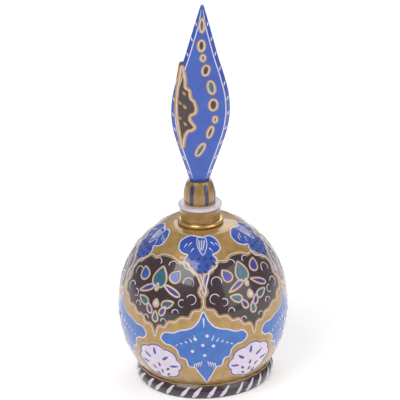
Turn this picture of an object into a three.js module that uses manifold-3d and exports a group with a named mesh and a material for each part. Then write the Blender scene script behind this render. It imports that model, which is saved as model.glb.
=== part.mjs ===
// Kohl pot: a turned bone globe with a striped foot, a gilded neck and a leaf-bladed stopper that carries the kohl stick.
// Millimetres, +Z up, origin at the centre of the foot's underside. The leaf's painted face looks along -Y.
import * as THREE from "three";
import { mergeVertices } from "three/addons/utils/BufferGeometryUtils.js";
import Module from "manifold-3d";

// Globe
const globeRadius = 21;
const globeHalfHeight = 23.5;
const globeCentre = 18.8;
const marrowRadius = 12.5;
const lipWall = 0.8;

// Foot
const footHeight = 3.6;
const footBulge = 0.75;
const footToeRadius = 16.5;
const footBoreRadius = 10;
const footSpigotHeight = 2.4;
const discRadius = 11.5;
const discThickness = 1.6;
const discRecess = 0.4;
const discPlugHeight = 3.2;

// Neck
const shoulderRise = 21.4;
const capSpigotDepth = 2.2;
const neckHoleRadius = 4.3;
const neckSpigotDepth = 4.4;
const neckBoreRadius = 3.2;
const seatRingRadius = 5.7;
const seatRingHeight = 1.2;
const collarFootRadius = 4.9;
const collarTopRadius = 5.2;
const collarHeight = 3.05;
const rimRadius = 5.4;
const rimHeight = 1.05;

// Stopper
const barrelBottomRadius = 3.75;
const barrelBellyRadius = 3.95;
const barrelTopRadius = 2.9;
const barrelHeight = 5.9;
const pegRadius = 1.85;
const pegSeatDepth = 3;
const pegReach = 7.4;
const sleeveLength = 4.8;
const stickRadius = 0.8;
const stickSocketDepth = 4;
const stickBeadRadius = 1.3;
const stickBeadLength = 4;
const floorGap = 3;

// Leaf-shaped finial blade
const bladeHeight = 44.6;
const bladeLean = 1.9;
const bladeHalfThickness = 1.9;
const bladeFootThickness = 1.6;
const bladeTipThickness = 0.5;
const bladeChamfer = 0.9;
const tenonRadius = 1.35;
const tenonLength = 2.2;
const bladeHalfWidths = [2.3, 3.75, 5.25, 6.55, 7.1, 6.75, 5.6, 4.15, 2.9, 1.65, 0.35]; // foot to tip, evenly spaced

// Clearance of glued and sliding fits, and the facets of round pieces
const fit = 0.1;
const roundFacets = 64;
const smallFacets = 40;

// Levels, worked out from the sizes above
const floorLevel = discRecess + discThickness + discPlugHeight;
const shoulderLevel = globeCentre + shoulderRise;
const capSeam = marrowRadius + lipWall;
const seamLevel = globeCentre + heightOnGlobe(capSeam);
const collarLevel = shoulderLevel + seatRingHeight;
const rimLevel = collarLevel + collarHeight;
const barrelLevel = rimLevel + rimHeight;
const bladeLevel = barrelLevel + barrelHeight;
const pegTop = barrelLevel + pegSeatDepth;
const pegBottom = barrelLevel - pegReach;

function radiusOnGlobe(rise) {
  return globeRadius * Math.sqrt(1 - (rise / globeHalfHeight) ** 2);
}

function heightOnGlobe(radius) {
  return globeHalfHeight * Math.sqrt(1 - (radius / globeRadius) ** 2);
}

// Points of the globe's outline between two levels, from the lower one up.
function globeArc(fromLevel, toLevel, steps) {
  return Array.from({ length: steps + 1 }, (_, i) => {
    const level = fromLevel + ((toLevel - fromLevel) * i) / steps;
    return [radiusOnGlobe(level - globeCentre), level];
  });
}

// A quarter or half round between two angles, in degrees, about a centre in the profile plane.
function arc(centreRadius, centreLevel, radial, axial, fromAngle, toAngle, steps) {
  return Array.from({ length: steps + 1 }, (_, i) => {
    const angle = THREE.MathUtils.degToRad(fromAngle + ((toAngle - fromAngle) * i) / steps);
    return [centreRadius + radial * Math.cos(angle), centreLevel + axial * Math.sin(angle)];
  });
}

// Turns a profile of [radius, level] points, given anticlockwise, about the Z axis.
function turned(profile, facets) {
  const points = profile.map(([radius, level]) => new THREE.Vector2(Math.max(radius, 0), level));
  const onAxis = points[0].x === 0 && points[points.length - 1].x === 0;
  if (!onAxis) points.push(points[0].clone());
  return new THREE.LatheGeometry(points, facets).rotateX(Math.PI / 2);
}

function paint(colour, roughness, metalness) {
  return new THREE.MeshStandardMaterial({ color: colour, roughness, metalness });
}

function piece(name, geometry, material) {
  const mesh = new THREE.Mesh(geometry, material);
  mesh.name = name;
  return mesh;
}

const blueLacquer = paint(0x1747c8, 0.25, 0);
const maroonLacquer = paint(0x2a1020, 0.25, 0);
const gilding = paint(0xb08a3c, 0.35, 0.6);
const bone = paint(0xe4dce6, 0.4, 0);
const brass = paint(0xc49a4a, 0.3, 0.9);
const cork = paint(0xb58a5c, 0.9, 0);

function globeShell() {
  return turned(
    [
      [marrowRadius, footHeight],
      ...globeArc(footHeight, seamLevel, 36),
      [marrowRadius, seamLevel],
    ],
    roundFacets,
  );
}

function shoulderCap() {
  const spigotRadius = marrowRadius - fit;
  return turned(
    [
      [neckHoleRadius, seamLevel - capSpigotDepth],
      [spigotRadius, seamLevel - capSpigotDepth],
      [spigotRadius, seamLevel],
      ...globeArc(seamLevel, shoulderLevel, 8),
      [neckHoleRadius, shoulderLevel],
    ],
    roundFacets,
  );
}

function footRing() {
  const shoulder = radiusOnGlobe(footHeight - globeCentre);
  const middle = (shoulder + footToeRadius) / 2;
  const edge = Array.from({ length: 9 }, (_, i) => {
    const rise = i / 8;
    const straight = footToeRadius + (shoulder - footToeRadius) * rise;
    return [straight + footBulge * Math.sin(Math.PI * rise) * (middle / footToeRadius), footHeight * rise];
  });
  const spigotRadius = marrowRadius - fit;
  return turned(
    [
      [discRadius, 0],
      ...edge,
      [spigotRadius, footHeight],
      [spigotRadius, footHeight + footSpigotHeight],
      [footBoreRadius, footHeight + footSpigotHeight],
      [footBoreRadius, discRecess + discThickness],
      [discRadius, discRecess + discThickness],
    ],
    roundFacets,
  );
}

function baseDisc() {
  const seat = discRecess + discThickness;
  return turned(
    [
      [0, discRecess],
      [discRadius - fit, discRecess],
      [discRadius - fit, seat],
      [footBoreRadius - fit, seat],
      [footBoreRadius - fit, floorLevel],
      [0, floorLevel],
    ],
    roundFacets,
  );
}

function neckSeatRing() {
  const half = seatRingHeight / 2;
  return turned(
    [
      [neckHoleRadius, shoulderLevel],
      ...arc(seatRingRadius - half, shoulderLevel + half, half, half, -90, 90, 8),
      [neckHoleRadius, shoulderLevel + seatRingHeight],
    ],
    smallFacets,
  );
}

function neckCollar() {
  const spigotRadius = neckHoleRadius - fit;
  return turned(
    [
      [neckBoreRadius, shoulderLevel - neckSpigotDepth],
      [spigotRadius, shoulderLevel - neckSpigotDepth],
      [spigotRadius, collarLevel],
      [collarFootRadius, collarLevel],
      [collarFootRadius, collarLevel + collarHeight * 0.45],
      [collarTopRadius, rimLevel],
      [neckBoreRadius, rimLevel],
    ],
    smallFacets,
  );
}

function neckRimRing() {
  const half = rimHeight / 2;
  return turned(
    [
      [neckBoreRadius, rimLevel],
      ...arc(rimRadius - half, rimLevel + half, half, half, -90, 90, 8),
      [neckBoreRadius, barrelLevel],
    ],
    smallFacets,
  );
}

function corkSleeve() {
  const top = barrelLevel - fit;
  return turned(
    [
      [pegRadius + fit, top - sleeveLength],
      [neckBoreRadius - fit * 2, top - sleeveLength],
      [neckBoreRadius - fit, top],
      [pegRadius + fit, top],
    ],
    smallFacets,
  );
}

function stopperBarrel() {
  const rise = (share) => barrelLevel + barrelHeight * share;
  return turned(
    [
      [0, pegTop],
      [pegRadius + fit, pegTop],
      [pegRadius + fit, barrelLevel],
      [barrelBottomRadius, barrelLevel],
      [barrelBottomRadius + 0.15, rise(0.15)],
      [barrelBellyRadius, rise(0.32)],
      [barrelBellyRadius - 0.08, rise(0.48)],
      [barrelBellyRadius - 0.3, rise(0.66)],
      [barrelBellyRadius - 0.58, rise(0.82)],
      [barrelTopRadius + 0.12, rise(0.96)],
      [barrelTopRadius, bladeLevel],
      [tenonRadius + fit, bladeLevel],
      [tenonRadius + fit, bladeLevel - tenonLength - fit],
      [0, bladeLevel - tenonLength - fit],
    ],
    smallFacets,
  );
}

function stopperPeg() {
  return turned(
    [
      [0, pegBottom + stickSocketDepth],
      [stickRadius + fit, pegBottom + stickSocketDepth],
      [stickRadius + fit, pegBottom],
      [pegRadius - 0.25, pegBottom],
      [pegRadius, pegBottom + 0.5],
      [pegRadius, pegTop - fit],
      [0, pegTop - fit],
    ],
    smallFacets,
  );
}

function kohlStick() {
  const tip = floorLevel + floorGap;
  const bead = arc(0, tip + stickBeadLength / 2, stickBeadRadius, stickBeadLength / 2, -90, 55, 10);
  bead[0][0] = 0;
  const top = pegBottom + stickSocketDepth - fit;
  return turned([...bead, [stickRadius, tip + stickBeadLength], [stickRadius, top], [0, top]], 24);
}

// Half width of the leaf at a share of its height, on a smooth curve through the widths above.
const leafCurve = new THREE.CatmullRomCurve3(
  bladeHalfWidths.map((halfWidth, i) => new THREE.Vector3(halfWidth, 0, i / (bladeHalfWidths.length - 1))),
);

function leafSection(share) {
  const halfWidth = leafCurve.getPoint(share).x;
  const middle = bladeHalfThickness - bladeFootThickness;
  const body = bladeFootThickness + middle * Math.sin(Math.PI * Math.min(share * 1.6, 1));
  const halfThickness = THREE.MathUtils.lerp(body, bladeTipThickness, share ** 3);
  const chamfer = Math.min(bladeChamfer, halfWidth * 0.5, halfThickness * 0.7);
  const centre = bladeLean * share;
  const level = bladeLevel + bladeHeight * share;
  const corners = [
    [halfWidth - chamfer, -halfThickness],
    [halfWidth, chamfer - halfThickness],
    [halfWidth, halfThickness - chamfer],
    [halfWidth - chamfer, halfThickness],
    [chamfer - halfWidth, halfThickness],
    [-halfWidth, halfThickness - chamfer],
    [-halfWidth, chamfer - halfThickness],
    [chamfer - halfWidth, -halfThickness],
  ];
  return corners.map(([x, y]) => [centre + x, y, level]);
}

function loft(rings) {
  const count = rings[0].length;
  const positions = rings.flat(2);
  const indices = [];
  for (let ring = 0; ring < rings.length - 1; ring++) {
    for (let i = 0; i < count; i++) {
      const a = ring * count + i;
      const b = ring * count + ((i + 1) % count);
      indices.push(a, b, b + count, a, b + count, a + count);
    }
  }
  const last = (rings.length - 1) * count;
  for (let i = 1; i < count - 1; i++) {
    indices.push(0, i + 1, i);
    indices.push(last, last + i, last + i + 1);
  }
  const geometry = new THREE.BufferGeometry();
  geometry.setAttribute("position", new THREE.Float32BufferAttribute(positions, 3));
  geometry.setIndex(indices);
  return geometry;
}

const wasm = await Module();
wasm.setup();

function solidOf(geometry) {
  const bare = geometry.clone();
  bare.deleteAttribute("normal");
  bare.deleteAttribute("uv");
  const merged = mergeVertices(bare, 1e-4);
  return new wasm.Manifold(
    new wasm.Mesh({
      numProp: 3,
      vertProperties: merged.attributes.position.array,
      triVerts: new Uint32Array(merged.index.array),
    }),
  );
}

function geometryOf(solid) {
  const mesh = solid.getMesh();
  const geometry = new THREE.BufferGeometry();
  geometry.setAttribute("position", new THREE.BufferAttribute(new Float32Array(mesh.vertProperties), 3));
  geometry.setIndex(new THREE.BufferAttribute(new Uint32Array(mesh.triVerts), 1));
  return geometry;
}

// The leaf and the round tenon cut on its foot are one piece.
function finialBlade() {
  const rings = 32;
  const leaf = loft(Array.from({ length: rings + 1 }, (_, i) => leafSection(i / rings)));
  const overlap = 1;
  const tenon = turned(
    [
      [0, bladeLevel - tenonLength],
      [tenonRadius, bladeLevel - tenonLength],
      [tenonRadius, bladeLevel + overlap],
      [0, bladeLevel + overlap],
    ],
    24,
  );
  return geometryOf(solidOf(leaf).add(solidOf(tenon)));
}

const kohlPot = new THREE.Group();

const pot = new THREE.Group();
pot.add(
  piece("globe_shell", globeShell(), blueLacquer),
  piece("shoulder_cap", shoulderCap(), gilding),
  piece("foot_ring", footRing(), maroonLacquer),
  piece("base_disc", baseDisc(), bone),
  piece("neck_seat_ring", neckSeatRing(), brass),
  piece("neck_collar", neckCollar(), gilding),
  piece("neck_rim_ring", neckRimRing(), bone),
);

const stopper = new THREE.Group();
stopper.add(
  piece("cork_sleeve", corkSleeve(), cork),
  piece("stopper_barrel", stopperBarrel(), gilding),
  piece("stopper_peg", stopperPeg(), bone),
  piece("kohl_stick", kohlStick(), bone),
  piece("finial_blade", finialBlade(), blueLacquer),
);

kohlPot.add(pot, stopper);

export default kohlPot;
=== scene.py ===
# Kohl pot: smooth turned bone pieces, with the painted motifs laid on them as thin relief.
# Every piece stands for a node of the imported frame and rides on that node's body.
# Lengths are millimetres until a mesh is made. Angles round the pot are degrees from the front.
from math import cos, degrees, hypot, pi, radians, sin, sqrt

import bpy
from mathutils import Matrix, Vector
from mathutils.geometry import delaunay_2d_cdt


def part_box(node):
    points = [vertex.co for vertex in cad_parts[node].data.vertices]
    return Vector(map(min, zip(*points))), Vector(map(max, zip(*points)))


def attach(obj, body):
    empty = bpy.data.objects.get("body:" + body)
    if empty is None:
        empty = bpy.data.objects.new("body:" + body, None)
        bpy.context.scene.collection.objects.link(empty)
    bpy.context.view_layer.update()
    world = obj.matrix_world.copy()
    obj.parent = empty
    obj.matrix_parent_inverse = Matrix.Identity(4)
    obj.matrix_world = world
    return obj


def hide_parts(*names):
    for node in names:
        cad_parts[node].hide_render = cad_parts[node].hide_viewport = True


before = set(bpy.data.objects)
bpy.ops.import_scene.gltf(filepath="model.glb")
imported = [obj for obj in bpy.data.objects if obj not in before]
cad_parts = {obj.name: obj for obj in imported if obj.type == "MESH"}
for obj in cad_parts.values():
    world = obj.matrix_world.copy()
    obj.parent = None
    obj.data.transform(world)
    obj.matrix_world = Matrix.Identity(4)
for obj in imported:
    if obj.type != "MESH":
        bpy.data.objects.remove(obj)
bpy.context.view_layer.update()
mm = 0.001
shownScene = bpy.context.scene
collection = shownScene.collection

# Each finish: colour, second colour, size of the mottling (per metre), how much of it shows
finishes = {
    "cobalt": ((0.006, 0.055, 0.42), (0.01, 0.15, 0.5), 350, 0.35),
    "azure": ((0.01, 0.15, 0.5), (0.006, 0.055, 0.42), 500, 0.6),
    "gold": ((0.5, 0.3, 0.09), (0.3, 0.17, 0.04), 500, 0.6),
    "barrelGold": ((0.3, 0.17, 0.04), (0.5, 0.3, 0.09), 500, 0.5),
    "maroon": ((0.016, 0.003, 0.007), (0.04, 0.006, 0.015), 500, 0.6),
    "outline": ((0.74, 0.66, 0.78), (0.55, 0.45, 0.68), 900, 0.5),
    "teal": ((0.006, 0.085, 0.13), (0.02, 0.2, 0.3), 900, 0.6),
    "violet": ((0.03, 0.018, 0.26), (0.05, 0.06, 0.5), 900, 0.5),
    "navy": ((0.012, 0.01, 0.07), (0.02, 0.02, 0.14), 900, 0.5),
    "bone": ((0.7, 0.62, 0.68), (0.6, 0.5, 0.58), 300, 0.5),
    "brass": ((0.75, 0.52, 0.22), (0.5, 0.32, 0.12), 900, 0.5),
    "cork": ((0.42, 0.25, 0.12), (0.2, 0.1, 0.05), 1500, 0.8),
}
# Where a finish isn't plain lacquered paint: roughness, metallic, coat weight, bump height in metres
surfaces = {
    "gold": (0.42, 0.35, 1.0, 0.00002),
    "barrelGold": (0.38, 0.5, 1.0, 0.00002),
    "bone": (0.35, 0.0, 0.6, 0.00002),
    "brass": (0.22, 1.0, 0.0, 0.00002),
    "cork": (0.9, 0.0, 0.0, 0.0002),
}
lacqueredPaint = (0.4, 0.0, 1.0, 0.00002)


def makeBrushedColour():
    group = bpy.data.node_groups.new("Brushed Colour", "ShaderNodeTree")
    for name, kind, value in (
        ("Colour", "NodeSocketColor", (0.5, 0.5, 0.5, 1)),
        ("Second Colour", "NodeSocketColor", (0.4, 0.4, 0.4, 1)),
        ("Scale", "NodeSocketFloat", 700.0),
        ("Unevenness", "NodeSocketFloat", 0.5),
    ):
        socket = group.interface.new_socket(name, in_out="INPUT", socket_type=kind)
        socket.default_value = value
    group.interface.new_socket("Colour", in_out="OUTPUT", socket_type="NodeSocketColor")
    group.interface.new_socket("Height", in_out="OUTPUT", socket_type="NodeSocketFloat")
    nodes, links = group.nodes, group.links
    start = nodes.new("NodeGroupInput")
    end = nodes.new("NodeGroupOutput")
    place = nodes.new("ShaderNodeTexCoord")
    noise = nodes.new("ShaderNodeTexNoise")
    noise.inputs["Detail"].default_value = 4.0
    links.new(place.outputs["Object"], noise.inputs["Vector"])
    links.new(start.outputs["Scale"], noise.inputs["Scale"])
    spread = nodes.new("ShaderNodeMapRange")
    spread.inputs["From Min"].default_value = 0.35
    spread.inputs["From Max"].default_value = 0.68
    links.new(noise.outputs["Fac"], spread.inputs["Value"])
    weight = nodes.new("ShaderNodeMath")
    weight.operation = "MULTIPLY"
    links.new(spread.outputs["Result"], weight.inputs[0])
    links.new(start.outputs["Unevenness"], weight.inputs[1])
    mix = nodes.new("ShaderNodeMix")
    mix.data_type = "RGBA"
    links.new(weight.outputs[0], mix.inputs["Factor"])
    links.new(start.outputs["Colour"], mix.inputs["A"])
    links.new(start.outputs["Second Colour"], mix.inputs["B"])
    links.new(mix.outputs["Result"], end.inputs["Colour"])
    links.new(noise.outputs["Fac"], end.inputs["Height"])
    return group


brushedColour = makeBrushedColour()


def makeMaterial(name):
    colour, second, scale, unevenness = finishes[name]
    roughness, metallic, coat, bump = surfaces.get(name, lacqueredPaint)
    material = bpy.data.materials.new(name)
    material.use_nodes = True
    nodes, links = material.node_tree.nodes, material.node_tree.links
    shader = nodes["Principled BSDF"]
    shader.inputs["Roughness"].default_value = roughness
    shader.inputs["Metallic"].default_value = metallic
    shader.inputs["Coat Weight"].default_value = coat
    shader.inputs["Coat Roughness"].default_value = 0.05
    brushed = nodes.new("ShaderNodeGroup")
    brushed.node_tree = brushedColour
    brushed.inputs["Colour"].default_value = (*colour, 1)
    brushed.inputs["Second Colour"].default_value = (*second, 1)
    brushed.inputs["Scale"].default_value = scale
    brushed.inputs["Unevenness"].default_value = unevenness
    relief = nodes.new("ShaderNodeBump")
    relief.inputs["Distance"].default_value = bump
    links.new(brushed.outputs["Colour"], shader.inputs["Base Color"])
    links.new(brushed.outputs["Height"], relief.inputs["Height"])
    links.new(relief.outputs["Normal"], shader.inputs["Normal"])
    return material


materials = {name: makeMaterial(name) for name in finishes}


# A piece is a list of parts, each its vertices, its faces and the name of its finish.
def addPiece(name, body, parts, replaced=None, creaseAngle=None):
    vertices, faces, slots, used = [], [], [], []
    mesh = bpy.data.meshes.new(name)
    for partVertices, partFaces, finish in parts:
        if finish not in used:
            used.append(finish)
            mesh.materials.append(materials[finish])
        first = len(vertices)
        vertices.extend(partVertices)
        faces.extend(tuple(i + first for i in face) for face in partFaces)
        slots.extend([used.index(finish)] * len(partFaces))
    mesh.from_pydata([Vector(v) * mm for v in vertices], [], faces)
    mesh.polygons.foreach_set("material_index", slots)
    mesh.polygons.foreach_set("use_smooth", [True] * len(faces))
    mesh.validate()
    mesh.update()
    if creaseAngle:
        mesh.set_sharp_from_angle(angle=radians(creaseAngle))
    piece = bpy.data.objects.new(name, mesh)
    collection.objects.link(piece)
    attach(piece, body)
    if replaced:
        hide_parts(replaced)


# Turns a profile of (radius, level) points about the pot's axis, as on a lathe.
def turn(profile, finish, facets):
    count = len(profile)
    vertices, faces = [], []
    for i in range(facets):
        angle = 2 * pi * i / facets
        vertices.extend((radius * cos(angle), radius * sin(angle), level) for radius, level in profile)
        after = (i + 1) % facets
        for j in range(count - 1):
            faces.append((i * count + j, after * count + j, after * count + j + 1, i * count + j + 1))
    return vertices, faces, finish


# A smooth line through listed points.
def smoothLine(points, closed, spacing):
    count = len(points)
    result = []
    for i in range(count if closed else count - 1):
        p1, p2 = Vector(points[i]), Vector(points[(i + 1) % count])
        p0 = Vector(points[i - 1]) if closed or i > 0 else p1 * 2 - p2
        p3 = Vector(points[(i + 2) % count]) if closed or i + 2 < count else p2 * 2 - p1
        steps = max(3, int((p2 - p1).length / spacing))
        for j in range(steps):
            t = j / steps
            bend = (2 * p0 - 5 * p1 + 4 * p2 - p3) * t**2 + (3 * p1 - p0 - 3 * p2 + p3) * t**3
            result.append(0.5 * (2 * p1 + (p2 - p0) * t + bend))
    if not closed:
        result.append(Vector(points[-1]))
    return result


def isInside(x, y, outline):
    inside = False
    for k, a in enumerate(outline):
        b = outline[k - 1]
        if (a.y > y) != (b.y > y) and x < (b.x - a.x) * (y - a.y) / (b.y - a.y) + a.x:
            inside = not inside
    return inside


# Staggered points inside an outline, so that a patch bends with the surface under it.
def insideGrid(outline, spacing):
    left, right = min(p.x for p in outline), max(p.x for p in outline)
    bottom, top = min(p.y for p in outline), max(p.y for p in outline)
    inside = []
    for i in range(1, int((top - bottom) / spacing) + 2):
        y = bottom + (i - 0.5) * spacing
        for j in range(1, int((right - left) / spacing) + 2):
            x = left + (j - 0.5 * (i % 2)) * spacing
            near = any(abs(p.x - x) + abs(p.y - y) < spacing * 0.5 for p in outline)
            if not near and isInside(x, y, outline):
                inside.append(Vector((x, y)))
    return inside


# A filled patch of paint. lay puts a flat point on the piece's surface, raised by lift.
def patch(outline, lay, finish, lift):
    flat = outline + insideGrid(outline, 0.9)
    edges = [(i, (i + 1) % len(outline)) for i in range(len(outline))]
    points, _, faces, _, _, _ = delaunay_2d_cdt(flat, edges, [], 1, 0.0001)
    return [lay(p.x, p.y, lift) for p in points], [tuple(face) for face in faces], finish


# Across a brush stroke: share of the half width, and height over the stroke's lift
strokeSection = ((-1, -0.05), (-0.55, 0.012), (0.55, 0.012), (1, -0.05))
strokeEndShare = 12


# A brush stroke along a line, rounded across, running from one width to another.
def stroke(line, lay, finish, lift, width, endWidth=None, closed=False, bulge=0.0):
    endWidth = width if endWidth is None else endWidth
    count = len(line)
    vertices, faces = [], []
    for i, p in enumerate(line):
        before = line[i - 1] if closed or i > 0 else line[0]
        after = line[(i + 1) % count] if closed or i + 1 < count else line[-1]
        here = Vector(lay(p.x, p.y, lift))
        along = Vector(lay(after.x, after.y, lift)) - Vector(lay(before.x, before.y, lift))
        out = Vector(lay(p.x, p.y, lift + 1)) - here
        side = along.cross(out).normalized()
        out.normalize()
        share = i / max(1, count - 1)
        half = 0.5 * (width + (endWidth - width) * share) * (1 + bulge * sin(pi * share))
        if not closed:
            fromEnd = min(share, 1 - share) * strokeEndShare
            half *= min(1.0, sqrt(max(0.02, fromEnd)))
        for across, rise in strokeSection:
            vertices.append(tuple(here + side * half * across + out * rise))
    size = len(strokeSection)
    for i in range(count if closed else count - 1):
        after = (i + 1) % count
        for j in range(size - 1):
            faces.append((i * size + j, after * size + j, after * size + j + 1, i * size + j + 1))
    return vertices, faces, finish


# A patch with a line round it, and a wider gold line under that where a halo is given.
def outlined(outline, lay, finish, lift, edge, edgeFinish="outline", halo=0.0):
    parts = [patch(outline, lay, finish, lift)]
    parts.append(stroke(outline, lay, edgeFinish, lift + 0.03, edge, closed=True))
    if halo:
        parts.append(stroke(outline, lay, "gold", lift + 0.015, edge + 2 * halo, closed=True))
    return parts


def straight(start, end, steps):
    first, last = Vector(start), Vector(end)
    return [first + (last - first) * (k / steps) for k in range(steps + 1)]


def moved(outline, x, y):
    return [Vector((x + p.x, y + p.y)) for p in outline]


def turnedBy(x, y, angle):
    c, s = cos(radians(angle)), sin(radians(angle))
    return Vector((x * c - y * s, x * s + y * c))


def petal(length, width, angle=0.0):
    outline = []
    for i in range(40):
        t = 2 * pi * i / 40
        x = 0.5 * width * sin(t) * (abs(sin(t / 2)) ** 0.75)
        outline.append(turnedBy(x, 0.5 * length * cos(t), angle))
    return outline


def oval(halfWidth, halfHeight, angle=0.0, steps=32):
    turns = [2 * pi * i / steps for i in range(steps)]
    return [turnedBy(halfWidth * cos(t), halfHeight * sin(t), angle) for t in turns]


def lobed(width, height, lobes, depth):
    outline = []
    for i in range(120):
        t = 2 * pi * i / 120
        swell = 1 - depth + depth * abs(cos(lobes * t / 2)) ** 0.7
        outline.append(Vector((0.5 * width * swell * sin(t), 0.5 * height * swell * cos(t))))
    return outline


# Levels and radii that the frame's nodes give
def levelsOf(node):
    low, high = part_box(node)
    return low.z / mm, high.z / mm


def radiusOf(node):
    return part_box(node)[1].x / mm


footTop, seamLevel = levelsOf("globe_shell")
capBottom, shoulderLevel = levelsOf("shoulder_cap")
collarLevel = levelsOf("neck_seat_ring")[1]
collarBottom, rimLevel = levelsOf("neck_collar")
barrelLevel, bladeLevel = levelsOf("stopper_barrel")

# Bores and the small gap that glued and sliding pieces keep
fits = {"gap": 0.1, "marrow": 12.5, "neckHole": 4.3, "neckBore": 3.2, "skin": 0.01}
globe = {"radius": 21.0, "halfHeight": 23.5, "centre": 18.8, "facets": 192}


def globeRadiusAt(level):
    rise = (level - globe["centre"]) / globe["halfHeight"]
    return globe["radius"] * sqrt(max(0.0, 1 - rise**2))


def globeProfile(fromLevel, toLevel, steps):
    levels = [fromLevel + (toLevel - fromLevel) * i / steps for i in range(steps + 1)]
    return [(globeRadiusAt(level), level) for level in levels]


# Length of the globe's outline from its widest level up, against the outline's own angle
def makeArcTable():
    steps = 4000
    step = 0.5 * pi / steps
    length = 0.0
    table = [(0.0, 0.0)]
    for i in range(1, steps + 1):
        t = (i - 0.5) * step
        length += hypot(globe["radius"] * sin(t), globe["halfHeight"] * cos(t)) * step
        table.append((length, i * step))
    return table


arcTable = makeArcTable()


def outlineAngle(arcLength):
    wanted = min(abs(arcLength), arcTable[-1][0])
    low, high = 0, len(arcTable) - 1
    while high - low > 1:
        middle = (low + high) // 2
        if arcTable[middle][0] < wanted:
            low = middle
        else:
            high = middle
    share = (wanted - arcTable[low][0]) / (arcTable[high][0] - arcTable[low][0])
    t = arcTable[low][1] + share * (arcTable[high][1] - arcTable[low][1])
    return t if arcLength >= 0 else -t


# x is degrees round the globe, y is millimetres along its outline from the widest level.
def onGlobe(x, y, lift):
    t = outlineAngle(y)
    normal = Vector((cos(t) / globe["radius"], sin(t) / globe["halfHeight"])).normalized()
    radius = globe["radius"] * cos(t) + lift * normal.x
    level = globe["centre"] + globe["halfHeight"] * sin(t) + lift * normal.y
    return (radius * sin(radians(x)), -radius * cos(radians(x)), level)


# Flat millimetres round a spot on the globe.
def around(angle, arcLength):
    scale = degrees(1 / (globe["radius"] * cos(outlineAngle(arcLength))))
    return lambda x, y, lift: onGlobe(angle + x * scale, arcLength + y, lift)


shell = [
    (fits["marrow"], footTop),
    *globeProfile(footTop + 0.02, seamLevel - 0.04, 90),
    (fits["marrow"], seamLevel),
    (fits["marrow"], footTop),
]
shellPart = turn(shell, "gold", globe["facets"])
addPiece("globeBody", "pot", [shellPart], "globe_shell", 32)

capSpigot = fits["marrow"] - fits["gap"]
cap = [
    (fits["neckHole"], capBottom),
    (capSpigot, capBottom),
    (capSpigot, seamLevel - 0.04),
    *globeProfile(seamLevel - 0.04, shoulderLevel, 16),
    (fits["neckHole"], shoulderLevel),
    (fits["neckHole"], capBottom),
]
capPart = turn(cap, "gold", globe["facets"])
addPiece("shoulderCap", "pot", [capPart], "shoulder_cap", 32)

foot = {
    "toeRadius": 16.5,
    "bulge": 0.74,
    "boreRadius": 10,
    "discSeat": 11.5,
    "seatLevel": 2,
    "strokes": 30,
    "strokeWidth": 0.95,
    "strokeLean": 8.5,
    "lineLevel": 3.34,
}


def footRadiusAt(level):
    rise = min(1, max(0, level / footTop))
    straightRadius = foot["toeRadius"] + (globeRadiusAt(footTop) - foot["toeRadius"]) * rise
    return straightRadius + foot["bulge"] * sin(pi * rise)


def onFoot(x, y, lift):
    radius = footRadiusAt(y) + lift
    return (radius * sin(radians(x)), -radius * cos(radians(x)), y)


def paintFoot():
    parts = []
    for i in range(foot["strokes"]):
        angle = 5.3 + i * 360 / foot["strokes"] + 1.2 * sin(i * 4.1)
        lean = foot["strokeLean"] + 1.3 * sin(i * 2.7)
        width = foot["strokeWidth"] + 0.16 * sin(i * 5.3)
        line = straight((angle - lean / 2, 0.42), (angle + lean / 2, 3.02), 10)
        parts.append(stroke(line, onFoot, "outline", 0.05, width, width * 0.8, bulge=0.2))
    topLine = [Vector((i * 2, foot["lineLevel"] + 0.06 * sin(i * 0.9))) for i in range(180)]
    parts.append(stroke(topLine, onFoot, "barrelGold", 0.06, 0.5, closed=True))
    return parts


footSpigotTop = levelsOf("foot_ring")[1]
footProfile = [
    (foot["discSeat"], 0.02),
    *((footRadiusAt(footTop * i / 16), footTop * i / 16) for i in range(17)),
    (capSpigot, footTop),
    (capSpigot, footSpigotTop),
    (foot["boreRadius"], footSpigotTop),
    (foot["boreRadius"], foot["seatLevel"]),
    (foot["discSeat"], foot["seatLevel"]),
    (foot["discSeat"], 0.02),
]
footParts = [turn(footProfile, "maroon", globe["facets"]), *paintFoot()]
addPiece("footRing", "pot", footParts, "foot_ring", 32)

discBottom, discTop = levelsOf("base_disc")
discEdge = foot["discSeat"] - fits["gap"]
plugEdge = foot["boreRadius"] - fits["gap"]
disc = [
    (0, discBottom),
    (discEdge, discBottom),
    (discEdge, foot["seatLevel"]),
    (plugEdge, foot["seatLevel"]),
    (plugEdge, discTop),
    (0, discTop),
]
addPiece("baseDisc", "pot", [turn(disc, "bone", 96)], "base_disc", 32)


# A ring with a half-round outside.
def roundRing(bore, radius, low, high):
    half = (high - low) / 2
    edge = []
    for i in range(13):
        t = pi * (i / 12 - 0.5)
        edge.append((radius - half + half * cos(t), (low + high) / 2 + half * sin(t)))
    return [(bore, low), *edge, (bore, high), (bore, low)]


neckFacets = 128
seatRing = roundRing(fits["neckHole"], radiusOf("neck_seat_ring"), shoulderLevel, collarLevel)
seatPart = turn(seatRing, "brass", neckFacets)
addPiece("seatRing", "pot", [seatPart], "neck_seat_ring", 60)

# The collar's outside, from its foot up: radius, and share of its height
collarWaist = ((4.9, 0), (4.88, 0.26), (4.92, 0.46), (5.02, 0.69), (5.18, 1))
collarSpigot = fits["neckHole"] - fits["gap"]
collar = [
    (fits["neckBore"], collarBottom),
    (collarSpigot, collarBottom),
    (collarSpigot, collarLevel),
    *((radius, collarLevel + (rimLevel - collarLevel) * share) for radius, share in collarWaist),
    (fits["neckBore"], rimLevel),
    (fits["neckBore"], collarBottom),
]
collarPart = turn(collar, "barrelGold", neckFacets)
addPiece("neckCollar", "pot", [collarPart], "neck_collar", 40)

rim = roundRing(fits["neckBore"], radiusOf("neck_rim_ring"), rimLevel, barrelLevel)
addPiece("rimRing", "pot", [turn(rim, "bone", neckFacets)], "neck_rim_ring", 60)

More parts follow.
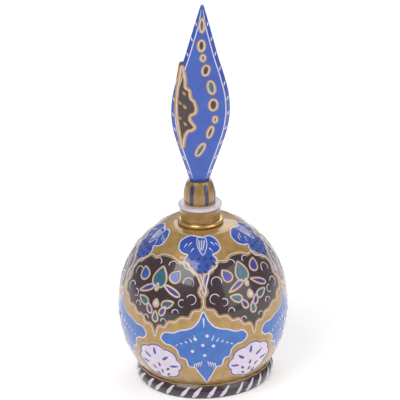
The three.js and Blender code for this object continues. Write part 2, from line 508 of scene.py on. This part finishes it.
pegRadius = radiusOf("stopper_peg")
pegBore = pegRadius + fits["gap"]
sleeveBottom, sleeveTop = levelsOf("cork_sleeve")
sleeve = [
    (pegBore, sleeveBottom),
    (fits["neckBore"] - 2 * fits["gap"], sleeveBottom),
    (fits["neckBore"] - fits["gap"], sleeveTop),
    (pegBore, sleeveTop),
    (pegBore, sleeveBottom),
]
addPiece("corkSleeve", "cork", [turn(sleeve, "cork", 96)], "cork_sleeve", 32)

# The barrel's outside: radius, and share of its height
barrelShape = (
    (3.75, 0),
    (3.9, 0.15),
    (3.95, 0.32),
    (3.87, 0.48),
    (3.65, 0.66),
    (3.37, 0.82),
    (3.02, 0.96),
    (2.9, 1),
)
barrel = {"stripes": (-31.6, 25.8, 69.5, 121, 172, 224, 276), "stripeWidth": 1.0, "socket": 3.0}
tenon = {"bore": 1.45, "depth": 2.3}
barrelHeight = bladeLevel - barrelLevel


def barrelRadiusAt(share):
    for (r1, s1), (r2, s2) in zip(barrelShape, barrelShape[1:]):
        if share <= s2:
            return r1 + (r2 - r1) * (share - s1) / (s2 - s1)
    return barrelShape[-1][0]


def onBarrel(x, y, lift):
    radius = barrelRadiusAt(min(1, max(0, (y - barrelLevel) / barrelHeight))) + lift
    return (radius * sin(radians(x)), -radius * cos(radians(x)), y)


def paintBarrel():
    parts = []
    for i, angle in enumerate(barrel["stripes"]):
        line = straight((angle, barrelLevel + 0.12), (angle + 2 * sin(i * 3.3), barrelLevel + 5.62), 10)
        width = barrel["stripeWidth"]
        parts.append(stroke(line, onBarrel, "navy", 0.04, width, width * 1.1))
    return parts


barrelPoints = [(radius, barrelLevel + barrelHeight * share) for radius, share in barrelShape]
socketTop = barrelLevel + barrel["socket"]
barrelProfile = [
    (0, socketTop),
    (pegBore, socketTop),
    (pegBore, barrelLevel),
    *(tuple(p) for p in smoothLine(barrelPoints, False, 0.15)),
    (tenon["bore"], bladeLevel),
    (tenon["bore"], bladeLevel - tenon["depth"]),
    (0, bladeLevel - tenon["depth"]),
]
barrelParts = [turn(barrelProfile, "barrelGold", neckFacets), *paintBarrel()]
addPiece("stopperBarrel", "stopper", barrelParts, "stopper_barrel", 40)

stick = {"radius": 0.8, "beadRadius": 1.3, "beadHalfLength": 2.0}
pegBottom, pegTop = levelsOf("stopper_peg")
stickBottom, stickTop = levelsOf("kohl_stick")
stickBore = stick["radius"] + fits["gap"]
peg = [
    (0, stickTop + fits["gap"]),
    (stickBore, stickTop + fits["gap"]),
    (stickBore, pegBottom),
    (pegRadius - 0.25, pegBottom),
    (pegRadius, pegBottom + 0.5),
    (pegRadius, pegTop),
    (0, pegTop),
]
addPiece("stopperPeg", "stopper", [turn(peg, "bone", 96)], "stopper_peg", 32)

beadMiddle = stickBottom + stick["beadHalfLength"]
beadAngles = [radians(-90 + 145 * i / 14) for i in range(15)]
stickProfile = [
    *(
        (max(0, stick["beadRadius"] * cos(t)), beadMiddle + stick["beadHalfLength"] * sin(t))
        for t in beadAngles
    ),
    (stick["radius"], beadMiddle + stick["beadHalfLength"]),
    (stick["radius"], stickTop),
    (0, stickTop),
]
addPiece("kohlStick", "stopper", [turn(stickProfile, "bone", 64)], "kohl_stick", 50)
print("turned pieces done")

blade = {
    "halfWidths": (2.3, 3.75, 5.25, 6.55, 7.1, 6.75, 5.6, 4.15, 2.9, 1.65, 0.35),
    "height": 44.6,
    "lean": 1.9,
    "footThickness": 1.6,
    "belly": 0.3,
    "tipThickness": 0.5,
    "chamfer": 0.9,
}
bladeSteps = len(blade["halfWidths"]) - 1
bladePoints = [(w, blade["height"] * i / bladeSteps) for i, w in enumerate(blade["halfWidths"])]
bladeOutline = smoothLine(bladePoints, False, 0.45)


def bladeShare(up):
    return min(1, max(0, up / blade["height"]))


def bladeHalfAt(up):
    for a, b in zip(bladeOutline, bladeOutline[1:]):
        if up <= b.y:
            return a.x + (b.x - a.x) * (up - a.y) / (b.y - a.y)
    return bladeOutline[-1].x


def bladeThickAt(share):
    body = blade["footThickness"] + blade["belly"] * sin(pi * min(share * 1.6, 1))
    return body + (blade["tipThickness"] - body) * share**3


def bladeChamferAt(half, thick):
    return min(blade["chamfer"], half * 0.5, thick * 0.7)


def makeBlade():
    vertices, faces = [], []
    for p in bladeOutline:
        share = p.y / blade["height"]
        half = p.x - fits["skin"]
        thick = bladeThickAt(share) - fits["skin"]
        chamfer = bladeChamferAt(half, thick)
        corners = (
            (half - chamfer, -thick),
            (half, chamfer - thick),
            (half, thick - chamfer),
            (half - chamfer, thick),
            (chamfer - half, thick),
            (-half, thick - chamfer),
            (-half, chamfer - thick),
            (chamfer - half, -thick),
        )
        vertices.extend((blade["lean"] * share + x, y, bladeLevel + p.y) for x, y in corners)
    last = (len(bladeOutline) - 1) * 8
    for first in range(0, last, 8):
        for j in range(8):
            after = (j + 1) % 8
            faces.append((first + j, first + after, first + 8 + after, first + 8 + j))
    faces.append(tuple(reversed(range(8))))
    faces.append(tuple(range(last, last + 8)))
    return vertices, faces, "cobalt"


# x is millimetres from the leaf's middle line and y is millimetres up from its foot.
def onBladeFace(side):
    def lay(x, y, lift):
        share = bladeShare(y)
        return (blade["lean"] * share + x, side * (bladeThickAt(share) + lift), bladeLevel + y)

    return lay


# x runs across the chamfered edge, from -0.5 to 0.5 at its widest.
def onBladeEdge(sign, side):
    slope = 0.7

    def lay(x, y, lift):
        share = bladeShare(y)
        half, thick = bladeHalfAt(y), bladeThickAt(share)
        chamfer = bladeChamferAt(half, thick)
        out = half - chamfer / 2 + x * slope + lift * slope
        back = thick - chamfer / 2 - x * slope + lift * slope
        return (blade["lean"] * share + sign * out, side * back, bladeLevel + y)

    return lay


# The chain of beads down the leaf: place, half width, half height, tilt, finish
bladeBeads = (
    (0, 39.7, 0.55, 1.6, 0, "teal"),
    (-0.05, 34.7, 0.75, 1.3, 0, "maroon"),
    (0.4, 31.6, 0.5, 0.75, 0, "teal"),
    (1.1, 28.5, 0.8, 1.25, -10, "maroon"),
    (2.5, 24.2, 0.8, 1.6, 12, "teal"),
    (3.05, 19.8, 0.95, 1.35, 0, "maroon"),
    (3.55, 16.1, 0.45, 0.75, 0, "teal"),
    (2.4, 12.9, 0.55, 1.45, -18, "maroon"),
    (0.1, 8.4, 0.65, 1.75, -30, "teal"),
)
halfMedallion = (
    *((-4.65, 29.65), (-3.9, 26.5), (-3.75, 24.3), (-2.8, 23.6), (-2.5, 21.7), (-1.6, 20.6)),
    *((-1.1, 18.75), (-1.5, 17.7), (-2.4, 17.3), (-2.6, 16.2), (-1.97, 15.2), (-1.35, 14.2)),
    *((-2.1, 13.5), (-3.1, 13.2), (-3.8, 11.6), (-4.3, 9.1)),
    *((-4.9, 12), (-5.55, 16), (-5.85, 20), (-5.6, 24), (-5.1, 27.5)),
)
# Gold dabs inside it: place and size
medallionDabs = (
    (-4.1, 23, 0.8),
    (-5.0, 20.6, 0.75),
    (-3.9, 19.6, 0.9),
    (-5.0, 16.8, 0.7),
    (-3.7, 15.2, 0.8),
    (-3.9, 12.4, 0.6),
)


def paintBladeFace(side):
    lay = onBladeFace(side)
    parts = []
    for x, y, halfWidth, halfHeight, tilt, finish in bladeBeads:
        outline = moved(oval(halfWidth, halfHeight, tilt), x, y)
        parts += outlined(outline, lay, finish, 0.05, 0.28, halo=0.28)
    parts += outlined(smoothLine(halfMedallion, True, 0.35), lay, "maroon", 0.05, 0.3, halo=0.4)
    for x, y, size in medallionDabs:
        dab = moved(petal(size * 1.6, size * 0.9, 35), x, y)
        parts.append(patch(dab, lay, "gold", 0.09))
    for sign in (-1, 1):
        inset = 0.1
        line = [
            Vector((sign * (p.x - min(blade["chamfer"], p.x * 0.5) - inset), p.y))
            for p in bladeOutline
            if 0.5 < p.y < 44
        ]
        parts.append(stroke(line, lay, "outline", 0.05, 0.28))
    return parts


def paintBladeEdge(sign, side):
    lay = onBladeEdge(sign, side)
    ups = [2.5 + 3.75 * i for i in range(11)]
    lines = [straight((-0.35, up - 0.45), (0.35, up + 0.45), 6) for up in ups]
    return [stroke(line, lay, "outline", 0.04, 0.5, 0.35) for line in lines]


bladeParts = [makeBlade()]
for side in (-1, 1):
    bladeParts += paintBladeFace(side)
for sign in (-1, 1):
    for side in (-1, 1):
        bladeParts += paintBladeEdge(sign, side)
addPiece("finialBlade", "stopper", bladeParts, "finial_blade", 30)
print("stopper painted")

# Outlines on the globe, each in degrees from the motif's middle and millimetres along the outline
palmetteOutline = (
    *((0, 25.4), (3, 25.0), (7.5, 25.6), (13, 25.6), (18, 25.0), (22, 23.6), (21.5, 21.6)),
    *((16.5, 20.6), (11.5, 20.2), (14.5, 19.0), (13.5, 17.2), (9.5, 16.4), (6, 16.0)),
    *((5, 14.6), (3.2, 13.0), (1, 10.4), (-1.6, 13.0), (-4, 14.8), (-6.5, 16.0)),
    *((-11, 16.4), (-16, 17.2), (-17, 19.0), (-14.5, 20.2), (-20.5, 20.6), (-26.5, 21.8)),
    *((-28, 23.8), (-22, 25.2), (-15, 25.8), (-7, 25.6)),
)
innerLeaf = (
    *((0, 25.2), (6, 25.1), (7, 23.4), (5, 21.6), (1.5, 20.2)),
    *((-2.5, 21.6), (-5.5, 23.4), (-5.5, 25.1)),
)
palmetteDots = (
    *((-10, 19.2), (-3, 19.3), (3.5, 19.2), (9, 19.2)),
    *((-9.5, 17.5), (-2.5, 17.4), (4.5, 17.4), (11, 17.7)),
    *((-2.5, 15.9), (3, 15.9)),
)
# Commas in the palmette's lobes: start, and how far round they run
palmetteCommas = ((12, 23.6, 4), (17.5, 23.2, 3), (8.5, 22, 3.5))

cartoucheOutline = (
    *((0, 19.5), (7, 19.2), (14, 18.2), (20, 18.4), (25, 17.0), (29, 15.6), (33.5, 15.0)),
    *((35, 13), (32.5, 11), (35.5, 9.2), (34, 6.8), (28, 6.2), (25.5, 4.6), (20, 4.6)),
    *((15.5, 3.4), (11, 3.2), (8, 1.6), (3.5, 1.6), (0.5, -1.2), (-2.5, 1.6), (-7.5, 1.8)),
    *((-10.5, 3.4), (-15.5, 3.4), (-19.5, 4.8), (-25, 4.8), (-28, 6.4), (-33.5, 7.0)),
    *((-35, 9.4), (-32, 11), (-34.5, 13), (-33, 15.2), (-28, 15.8), (-24.5, 17.2)),
    *((-19, 18.4), (-13, 18.2), (-7, 19.3)),
)
# Curls in the cartouche's corners: place, radius, first and last angle
cartoucheCurls = (
    (24, 13.2, 1.3, 200, -40),
    (26.5, 9.2, 1.2, 160, -100),
    (20, 8.2, 0.9, 60, 300),
    (8, 17.2, 1.0, 200, 20),
    (15.5, 5.8, 0.8, 200, -20),
    (7, 3.2, 0.7, 190, 0),
)
# The flowers' petals: place, length, width, turn, finish
leftFlower = (
    (-0.5, 13.8, 5.2, 4.6, 0, "teal"),
    (-16.5, 13.6, 3.2, 3.4, 30, "cobalt"),
    (13, 14.5, 3.2, 3.4, -30, "cobalt"),
    (-10, 10.3, 4.6, 1.6, 118, "violet"),
    (11, 11, 5.0, 1.6, 62, "violet"),
    (-10.5, 7.4, 3.2, 2.2, 70, "teal"),
    (9.5, 7.6, 3.2, 2.2, -70, "teal"),
    (-4.8, 5.8, 2.6, 1.7, 30, "violet"),
    (6.2, 5.8, 2.6, 1.7, -30, "violet"),
    (0.7, 4.1, 2.6, 1.9, 0, "teal"),
    (0.4, 7.4, 1.8, 1.8, 0, "outline"),
    (-1.2, 11.3, 1.8, 1.1, 0, "outline"),
)
rightFlower = (
    (-1.2, 14.8, 4.9, 4.2, 0, "teal"),
    (-15, 14.5, 3.2, 3.0, 30, "violet"),
    (13.5, 15.3, 3.2, 3.0, -30, "violet"),
    (-9, 11.5, 4.6, 1.6, 118, "violet"),
    (11.5, 11.2, 4.8, 1.6, 62, "violet"),
    (-10.7, 8.7, 3.2, 2.2, 70, "teal"),
    (10.7, 8.3, 3.2, 2.2, -70, "teal"),
    (-5.2, 7.0, 2.6, 1.7, 30, "violet"),
    (4.7, 7.3, 2.6, 1.7, -30, "violet"),
    (1.2, 5.6, 2.6, 1.9, 0, "teal"),
    (0.8, 9.0, 1.9, 1.9, 0, "outline"),
    (0.3, 11.9, 1.8, 1.1, 0, "outline"),
)

lowerFieldOutline = (
    *((0, 6.3), (3, 4.2), (6.5, 2.6), (11, 1.8), (16, 1.4), (21, 0.6), (27, 0.4), (30, -1.2)),
    *((27, -2.6), (22, -3.0), (18.5, -4.2), (17.5, -6), (13.5, -6.6), (12, -8.8), (8, -9.2)),
    *((5.8, -11.4), (3.4, -13.2), (1.2, -15.4), (-1.2, -13.2), (-4, -11.4), (-7, -9.2)),
    *((-11.5, -8.8), (-13, -6.6), (-17.5, -6), (-18.5, -4.2), (-22, -3.0), (-27, -2.6)),
    *((-30, -1.2), (-27, 0.4), (-21, 0.6), (-16, 1.4), (-11, 1.8), (-6.5, 2.6), (-3, 4.2)),
)
lowerFieldDots = ((2, 0.2), (-6, -0.6), (-1, -2.3), (6, -2.6), (-8, -4), (0, -5.2))

# Petals round the medallion and seeds inside it, in millimetres from its middle, with their turn
medallionPetals = (
    (-0.5, 3.6, 0),
    (2.2, 1.9, -50),
    (4.2, -0.4, -80),
    (-3.0, 1.9, 50),
    (-4.4, -0.6, 80),
)
medallionSeeds = (
    (0, -0.6, 0),
    (-2.0, -1.9, 40),
    (2.2, -1.7, -40),
    (0.2, -2.8, 0),
    (-1.4, -3.9, 40),
    (1.8, -3.8, -40),
)
medallionLevel = -9


def globeOutline(points, angle):
    return smoothLine([(angle + x, y) for x, y in points], True, 1.0)


def dot(angle, arcLength, size, finish):
    return patch(oval(size / 2, size / 2, steps=14), around(angle, arcLength), finish, 0.12)


def paintPalmette(angle):
    parts = outlined(globeOutline(palmetteOutline, angle), onGlobe, "cobalt", 0.05, 0.38)
    parts += outlined(globeOutline(innerLeaf, angle), onGlobe, "azure", 0.09, 0.25)
    for x in (-3.4, 0.4, 4.2):
        vein = smoothLine([(angle + x * 0.25, 21.4), (angle + x * 0.7, 22.8), (angle + x, 24.4)], False, 0.3)
        parts.append(stroke(vein, onGlobe, "outline", 0.16, 0.2, 0.35))
    parts += [dot(angle + x, y, 0.75, "navy") for x, y in palmetteDots]
    for side in (-1, 1):
        for x, y, run in palmetteCommas:
            shares = [k / 8 for k in range(9)]
            line = [Vector((angle + side * (x + run * t), y - 1.2 * t**2)) for t in shares]
            parts.append(stroke(line, onGlobe, "outline", 0.12, 0.42, 0.12))
    return parts


def paintCartouche(angle, flower):
    outline = globeOutline(cartoucheOutline, angle)
    parts = outlined(outline, onGlobe, "maroon", 0.04, 0.3, halo=0.55)
    for x, y, length, width, turned, finish in flower:
        lay = around(angle + x, y)
        parts += outlined(petal(length, width, turned), lay, finish, 0.13, 0.25, halo=0.18)
    for side in (-1, 1):
        for x, y, radius, fromAngle, toAngle in cartoucheCurls:
            angles = [radians(fromAngle + (toAngle - fromAngle) * i / 14) for i in range(15)]
            line = [Vector((side * radius * cos(t), radius * sin(t))) for t in angles]
            parts.append(stroke(line, around(angle + side * x, y), "outline", 0.1, 0.3, 0.12))
    return parts


def paintLowerField(angle):
    parts = outlined(globeOutline(lowerFieldOutline, angle), onGlobe, "azure", 0.05, 0.38)
    parts += [dot(angle + x, y, 0.85, "outline") for x, y in lowerFieldDots]
    for side in (-1, 1):
        for i in range(5):
            x, y = 5 + 3.2 * i, -1.2 - 0.3 * i
            line = straight((angle + side * x, y), (angle + side * (x + 1.8), y + 1.6 - 0.5 * i), 6)
            parts.append(stroke(line, onGlobe, "outline", 0.12, 0.42, 0.14))
        for i in range(4):
            x, y = 2 + 1.6 * i, -7 - 0.2 * i
            line = straight((angle + side * x, y), (angle + side * (x + 1.5), y - 2.0), 6)
            parts.append(stroke(line, onGlobe, "outline", 0.12, 0.36, 0.12))
    line = straight((angle, 4.9), (angle, 2.3), 8)
    parts.append(stroke(line, onGlobe, "outline", 0.12, 0.5, 0.2))
    return parts


def paintMedallion(angle):
    lay = around(angle, medallionLevel)
    parts = outlined(lobed(12.2, 10.8, 8, 0.12), lay, "outline", 0.05, 0.3, "violet")
    parts.append(stroke(lobed(13.6, 12.2, 8, 0.12), lay, "gold", 0.09, 1.0, closed=True))
    for x, y, turned in medallionPetals:
        parts.append(patch(moved(petal(2.3, 0.9, turned), x, y), lay, "violet", 0.09))
    for x, y, turned in medallionSeeds:
        parts.append(patch(moved(petal(1.5, 0.8, turned), x, y), lay, "navy", 0.09))
    return parts


# Where the motifs' middles stand; the right flower is in every second cartouche
palmetteAngles = (0, 72, 144, 216, 288)
cartoucheAngles = (-35, 35, 108, 180, 252)
globeParts = []
for angle in palmetteAngles:
    globeParts += paintPalmette(angle)
    globeParts += paintLowerField(angle)
for i, angle in enumerate(cartoucheAngles):
    globeParts += paintCartouche(angle, rightFlower if i % 2 else leftFlower)
    globeParts += paintMedallion(angle)
addPiece("globePainting", "pot", globeParts)
print("globe painted")


# Lamps, floor and camera, in metres
def addLamp(name, place, size, power, aim):
    light = bpy.data.lights.new(name, "AREA")
    light.size = size
    light.energy = power
    holder = bpy.data.objects.new(name, light)
    collection.objects.link(holder)
    holder.location = place
    holder.rotation_euler = (Vector(aim) - Vector(place)).to_track_quat("-Z", "Y").to_euler()


addLamp("keyLamp", (-0.25, -0.35, 0.5), 0.35, 1.5, (0, 0, 0.04))
addLamp("fillLamp", (0.4, -0.3, 0.25), 0.4, 0.7, (0, 0, 0.04))
addLamp("backLamp", (0.1, 0.45, 0.4), 0.4, 0.8, (0, 0, 0.05))


# A white room: full white to the camera, softer as light.
def addWorld(strength):
    world = bpy.data.worlds.new("whiteRoom")
    shownScene.world = world
    world.use_nodes = True
    nodes, links = world.node_tree.nodes, world.node_tree.links
    sky = nodes["Background"]
    sky.inputs["Color"].default_value = (1, 1, 1, 1)
    ray = nodes.new("ShaderNodeLightPath")
    spread = nodes.new("ShaderNodeMapRange")
    spread.inputs["To Min"].default_value = strength
    links.new(ray.outputs["Is Camera Ray"], spread.inputs["Value"])
    links.new(spread.outputs["Result"], sky.inputs["Strength"])


def addFloor(half, glow):
    mesh = bpy.data.meshes.new("floor")
    corners = [(-half, -half, 0), (half, -half, 0), (half, half, 0), (-half, half, 0)]
    mesh.from_pydata(corners, [], [(0, 1, 2, 3)])
    floor = bpy.data.objects.new("floor", mesh)
    collection.objects.link(floor)
    material = bpy.data.materials.new("paleFloor")
    material.use_nodes = True
    shader = material.node_tree.nodes["Principled BSDF"]
    shader.inputs["Base Color"].default_value = (0.9, 0.9, 0.9, 1)
    shader.inputs["Roughness"].default_value = 0.8
    shader.inputs["Emission Color"].default_value = (1, 1, 1, 1)
    shader.inputs["Emission Strength"].default_value = glow
    mesh.materials.append(material)


addWorld(0.4)
addFloor(1, 0.35)

# The photo's camera: distance in metres, angles in degrees
photoCamera = {"distance": 0.7, "elevation": 24, "aimUp": 2.06, "roll": 1.71, "lens": 253.5}
camera = bpy.data.objects.new("camera", bpy.data.cameras.new("camera"))
collection.objects.link(camera)
camera.data.lens = photoCamera["lens"]
camera.data.sensor_width = 36
camera.data.clip_start = 0.01
elevation = radians(photoCamera["elevation"])
target = Vector((0, 0, globe["centre"] * mm))
camera.location = target + Vector((0, -cos(elevation), sin(elevation))) * photoCamera["distance"]
pitch = Matrix.Rotation(pi / 2 - elevation + radians(photoCamera["aimUp"]), 3, "X")
camera.rotation_euler = (pitch @ Matrix.Rotation(-radians(photoCamera["roll"]), 3, "Z")).to_euler()
shownScene.camera = camera
shownScene.view_settings.view_transform = "Standard"

print("scene built")
